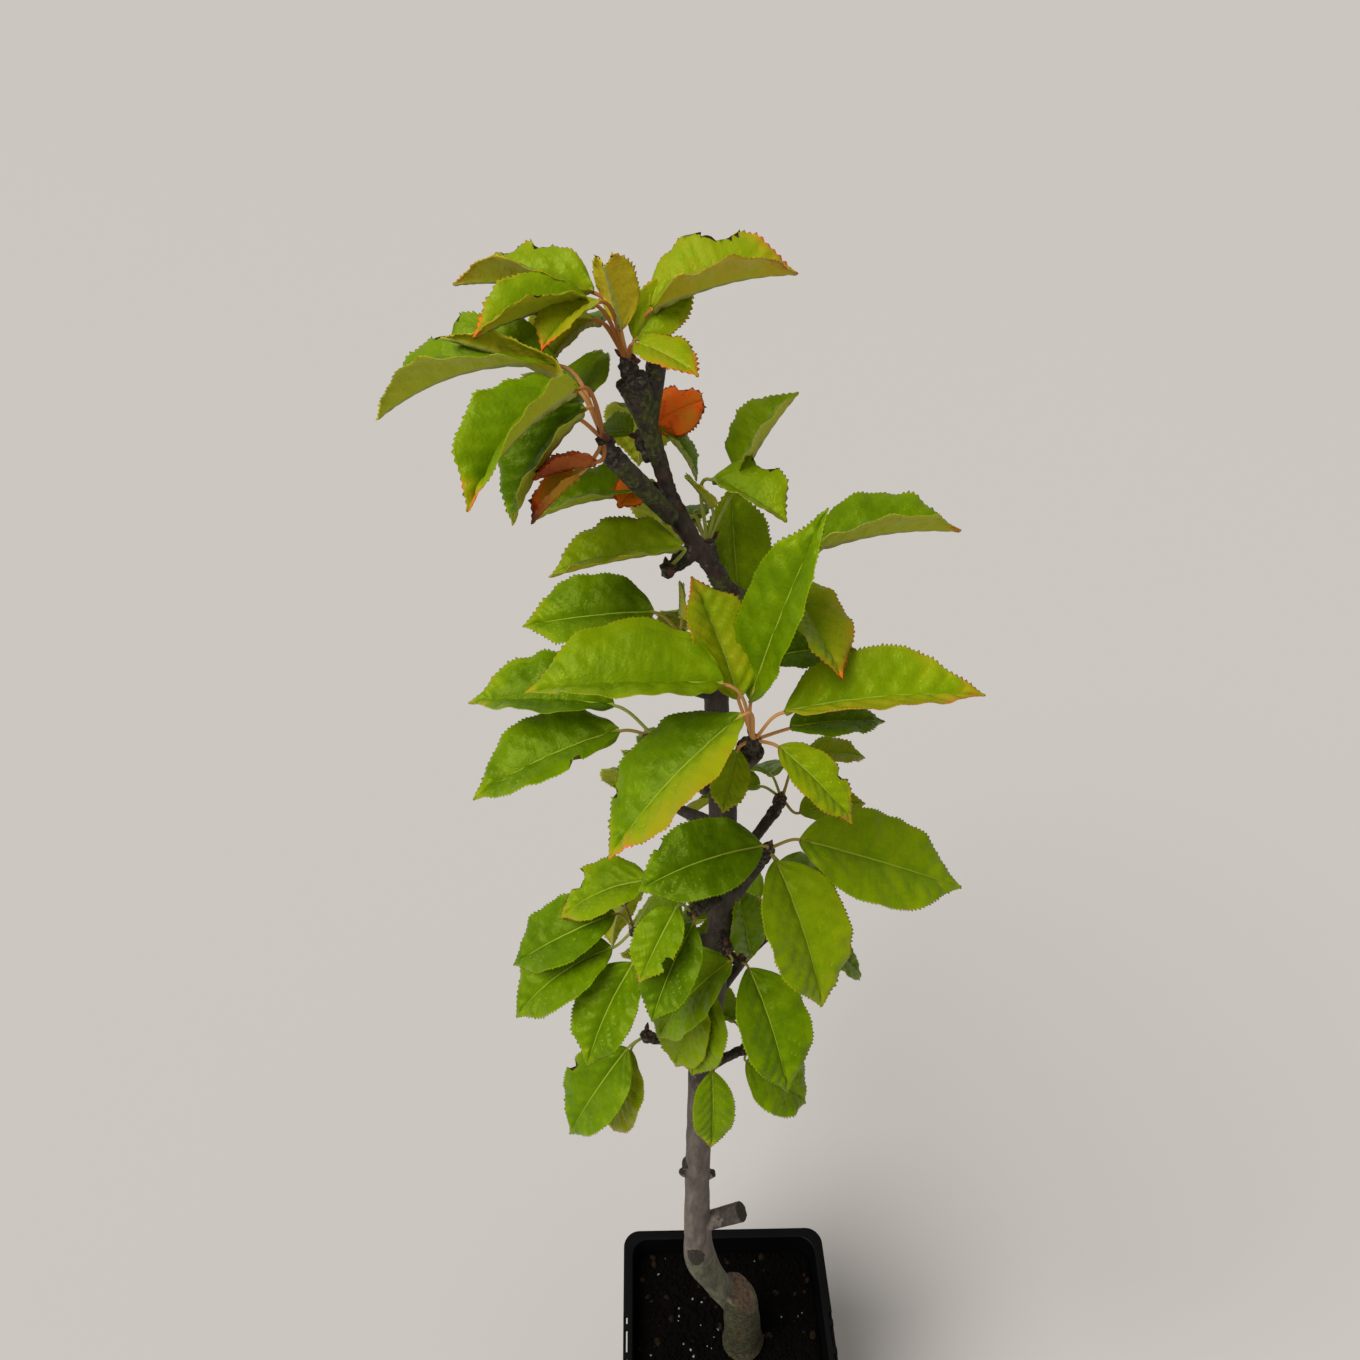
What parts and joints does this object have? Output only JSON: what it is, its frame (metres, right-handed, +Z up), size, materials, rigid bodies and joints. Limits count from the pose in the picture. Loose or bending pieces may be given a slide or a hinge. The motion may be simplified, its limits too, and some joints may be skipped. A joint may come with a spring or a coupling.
{
  "type": "potted columnar cherry tree",
  "caption": "Young slender cherry tree with one leaning stem, short spurs and drooping toothed leaves, in a square plastic nursery pot filled with soil.",
  "frame": {"origin": "centre of the pot's flat underside, which stands on the ground", "axes": "+Z up along the stem, -Y towards the side the picture shows, +X to the right in it"},
  "size_m": [0.199, 0.145, 0.7848],
  "materials": {
    "bark": "rough bark",
    "leaf": "satin leaf",
    "pot_plastic": "moulded black plastic",
    "soil": "crumbly potting soil"
  },
  "bodies": {
    "root": {"back_right_leaves": "leaf", "back_right_twig": "bark", "back_upper_leaves": "leaf", "bottom_front_leaves": "leaf", "bottom_left_leaves": "leaf", "bottom_left_twig": "bark", "bottom_right_leaves": "leaf", "bottom_right_twig": "bark", "bough_crotch_leaves": "leaf", "centre_front_leaves": "leaf", "front_knob_leaves": "leaf", "front_spur": "bark", "high_back_leaves": "leaf", "high_back_twig": "bark", "leader_back_leaves": "leaf", "leader_tip_leaves": "leaf", "left_bough": "bark", "left_bough_leaves": "leaf", "left_low_back_leaves": "leaf", "left_spur": "bark", "left_spur_leaves": "leaf", "low_back_leaves": "leaf", "low_back_twig": "bark", "lower_centre_leaves": "leaf", "lower_front_leaves": "leaf", "lower_left_bough": "bark", "lower_left_leaves": "leaf", "lower_right_leaves": "leaf", "middle_back_leaves": "leaf", "middle_back_twig": "bark", "middle_left_bough": "bark", "middle_left_leaves": "leaf", "pot": "pot_plastic", "right_bough": "bark", "right_bough_leaves": "leaf", "right_twig": "bark", "right_twig_leaves": "leaf", "soil": "soil", "trunk": "bark", "upper_right_leaves": "leaf"}
  },
  "joints": []
}
